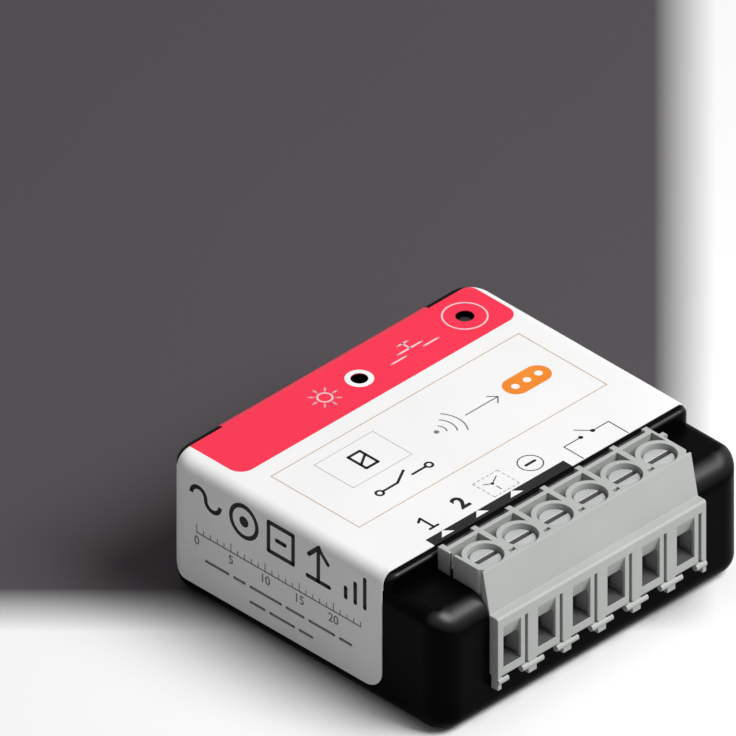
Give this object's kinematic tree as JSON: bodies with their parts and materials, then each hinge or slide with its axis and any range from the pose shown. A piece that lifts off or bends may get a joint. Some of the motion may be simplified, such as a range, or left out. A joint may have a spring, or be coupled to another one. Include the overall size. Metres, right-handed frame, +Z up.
{
  "type": "flush-mounted smart relay module",
  "caption": "Flat black flush-box relay module with a wrap label, push button, light guide and a grey screw terminal block.",
  "frame": {"origin": "centre of the case's flat bottom face", "axes": "+X along the terminal row, -Y towards the terminal side, +Z up out of the labelled top"},
  "size_m": [0.0448, 0.042, 0.0177],
  "materials": {
    "case_black": "fine moulded satin",
    "label_film": "printed semi-gloss film",
    "block_grey": "moulded satin",
    "plated_steel": "zinc plated",
    "cage_steel": "black passivated zinc",
    "tinned_brass": "tin plated",
    "board": "solder mask",
    "relay_plastic": "moulded",
    "bobbin_plastic": "moulded",
    "copper_winding": "enamelled copper wire",
    "soft_iron": "nickel plated",
    "contact_metal": "bright copper alloy",
    "film_yellow": "moulded box",
    "varistor_blue": "dipped epoxy",
    "resistor_body": "lacquered ceramic",
    "capacitor_sleeve": "shrunk sleeve over aluminium",
    "ferrite": "sintered ferrite",
    "chip_black": "moulded epoxy",
    "shield_steel": "tin plated sheet",
    "led_body": "clear resin over white ceramic",
    "clear_guide": "smoked clear moulding",
    "button_black": "moulded"
  },
  "bodies": {
    "module": {"base_case": "case_black", "top_cover": "case_black", "wrap_label": "label_film", "terminal_block": "block_grey", "terminal_contacts": "tinned_brass", "main_board": "board", "relay_base": "relay_plastic", "relay_case": "relay_plastic", "relay_bobbin": "bobbin_plastic", "relay_coil": "copper_winding", "relay_core": "soft_iron", "relay_yoke": "soft_iron", "fixed_contact": "contact_metal", "relay_pins": "tinned_brass", "film_capacitor": "film_yellow", "varistor": "varistor_blue", "fuse_resistor": "resistor_body", "smoothing_capacitor_1": "capacitor_sleeve", "smoothing_capacitor_2": "capacitor_sleeve", "choke": "ferrite", "bridge_rectifier": "chip_black", "supply_controller": "chip_black", "input_optocouplers": "chip_black", "chip_resistors": "chip_black", "radio_board": "board", "radio_chip": "chip_black", "radio_shield": "shield_steel", "radio_antenna": "contact_metal", "status_led": "led_body", "light_guide": "clear_guide", "switch_base": "case_black", "switch_cover": "shield_steel", "switch_dome": "contact_metal", "switch_leads": "tinned_brass"},
    "screw_1": {"terminal_screw_1": "plated_steel"},
    "screw_2": {"terminal_screw_2": "plated_steel"},
    "screw_3": {"terminal_screw_3": "plated_steel"},
    "screw_4": {"terminal_screw_4": "plated_steel"},
    "screw_5": {"terminal_screw_5": "plated_steel"},
    "screw_6": {"terminal_screw_6": "plated_steel"},
    "cage_1": {"clamp_cage_1": "cage_steel"},
    "cage_2": {"clamp_cage_2": "cage_steel"},
    "cage_3": {"clamp_cage_3": "cage_steel"},
    "cage_4": {"clamp_cage_4": "cage_steel"},
    "cage_5": {"clamp_cage_5": "cage_steel"},
    "cage_6": {"clamp_cage_6": "cage_steel"},
    "button": {"button_plunger": "button_black", "switch_stem": "case_black"},
    "armature": {"relay_armature": "soft_iron", "contact_spring": "contact_metal", "moving_contact": "contact_metal"}
  },
  "joints": [
    {"name": "screw_1_turn", "type": "hinge", "parent": "module", "child": "screw_1", "pos_m": [-0.0127, -0.01703, 0.0162], "axis": [0, 0, -1], "range_deg": [0, 1980]},
    {"name": "cage_1_lift", "type": "slide", "parent": "module", "child": "cage_1", "axis": [0, 0, 1], "range_m": [0, 0.00247]},
    {"name": "screw_2_turn", "type": "hinge", "parent": "module", "child": "screw_2", "pos_m": [-0.00762, -0.01703, 0.0162], "axis": [0, 0, -1], "range_deg": [0, 1980]},
    {"name": "cage_2_lift", "type": "slide", "parent": "module", "child": "cage_2", "axis": [0, 0, 1], "range_m": [0, 0.00247]},
    {"name": "screw_3_turn", "type": "hinge", "parent": "module", "child": "screw_3", "pos_m": [-0.00254, -0.01703, 0.0162], "axis": [0, 0, -1], "range_deg": [0, 1980]},
    {"name": "cage_3_lift", "type": "slide", "parent": "module", "child": "cage_3", "axis": [0, 0, 1], "range_m": [0, 0.00247]},
    {"name": "screw_4_turn", "type": "hinge", "parent": "module", "child": "screw_4", "pos_m": [0.00254, -0.01703, 0.0162], "axis": [0, 0, -1], "range_deg": [0, 1980]},
    {"name": "cage_4_lift", "type": "slide", "parent": "module", "child": "cage_4", "axis": [0, 0, 1], "range_m": [0, 0.00247]},
    {"name": "screw_5_turn", "type": "hinge", "parent": "module", "child": "screw_5", "pos_m": [0.00762, -0.01703, 0.0162], "axis": [0, 0, -1], "range_deg": [0, 1980]},
    {"name": "cage_5_lift", "type": "slide", "parent": "module", "child": "cage_5", "axis": [0, 0, 1], "range_m": [0, 0.00247]},
    {"name": "screw_6_turn", "type": "hinge", "parent": "module", "child": "screw_6", "pos_m": [0.0127, -0.01703, 0.0162], "axis": [0, 0, -1], "range_deg": [0, 1980]},
    {"name": "cage_6_lift", "type": "slide", "parent": "module", "child": "cage_6", "axis": [0, 0, 1], "range_m": [0, 0.00247]},
    {"name": "button_press", "type": "slide", "parent": "module", "child": "button", "axis": [0, 0, -1], "range_m": [0, 0.00025], "stiffness_N_per_m": 4000, "springref_m": -0.0001, "deforming": ["switch_dome"]},
    {"name": "armature_swing", "type": "hinge", "parent": "module", "child": "armature", "pos_m": [0.0157, -0.0061, 0.01295], "axis": [0, 1, 0], "range_deg": [0, 3.9], "stiffness_Nm_per_rad": 0.004, "springref_deg": -2.86}
  ],
  "couplings": [
    {"joint": "screw_1_turn", "follows": "cage_1_lift", "rad_per_m": 13963},
    {"joint": "screw_2_turn", "follows": "cage_2_lift", "rad_per_m": 13963},
    {"joint": "screw_3_turn", "follows": "cage_3_lift", "rad_per_m": 13963},
    {"joint": "screw_4_turn", "follows": "cage_4_lift", "rad_per_m": 13963},
    {"joint": "screw_5_turn", "follows": "cage_5_lift", "rad_per_m": 13963},
    {"joint": "screw_6_turn", "follows": "cage_6_lift", "rad_per_m": 13963}
  ]
}
